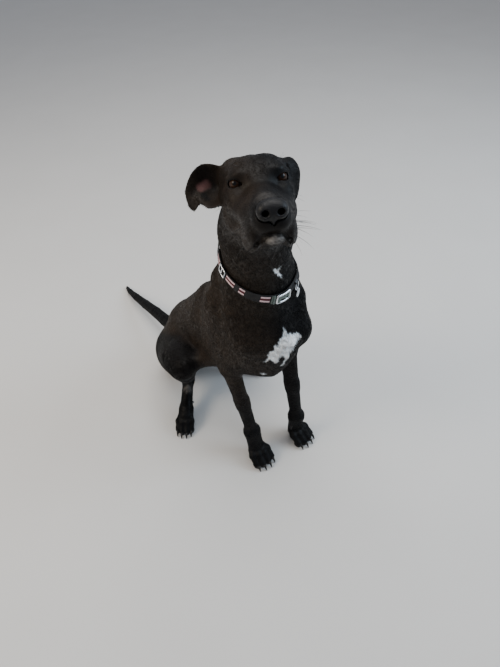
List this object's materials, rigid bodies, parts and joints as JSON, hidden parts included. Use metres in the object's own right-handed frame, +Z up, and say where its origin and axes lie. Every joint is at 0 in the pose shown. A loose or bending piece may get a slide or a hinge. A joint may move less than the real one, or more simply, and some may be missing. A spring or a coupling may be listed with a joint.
{
  "type": "great dane dog",
  "caption": "Life-size still model of a black great dane sitting with its head raised, wearing a webbing collar with a buckle, ring and tag.",
  "frame": {"origin": "middle of the floor under the whole dog, at the level its paws and rump rest on", "axes": "+Z up, -Y the way the chest faces, +X the dog's left side, +Y towards the tail's tip"},
  "size_m": [0.4436, 1.2324, 1.045],
  "materials": {
    "coat": "short glossy hair",
    "nose": "moist leather",
    "eye": "wet",
    "webbing": "woven",
    "plastic": "moulded",
    "metal": "polished"
  },
  "bodies": {
    "root": {"nose": "nose", "eye_right": "eye", "eye_left": "eye", "ear_right": "coat", "ear_left": "coat", "head": "coat", "neck": "coat", "tail": "coat", "forepaw_right": "coat", "hindpaw_right": "coat", "forepaw_left": "coat", "hindpaw_left": "coat", "torso": "coat", "foreleg_right": "coat", "thigh_right": "coat", "hindleg_right": "coat", "foreleg_left": "coat", "thigh_left": "coat", "hindleg_left": "coat", "collar_band": "webbing", "collar_buckle": "plastic", "collar_slider": "metal", "collar_ring": "metal", "collar_keeper": "webbing", "collar_link": "metal", "collar_tag": "metal"}
  },
  "joints": []
}
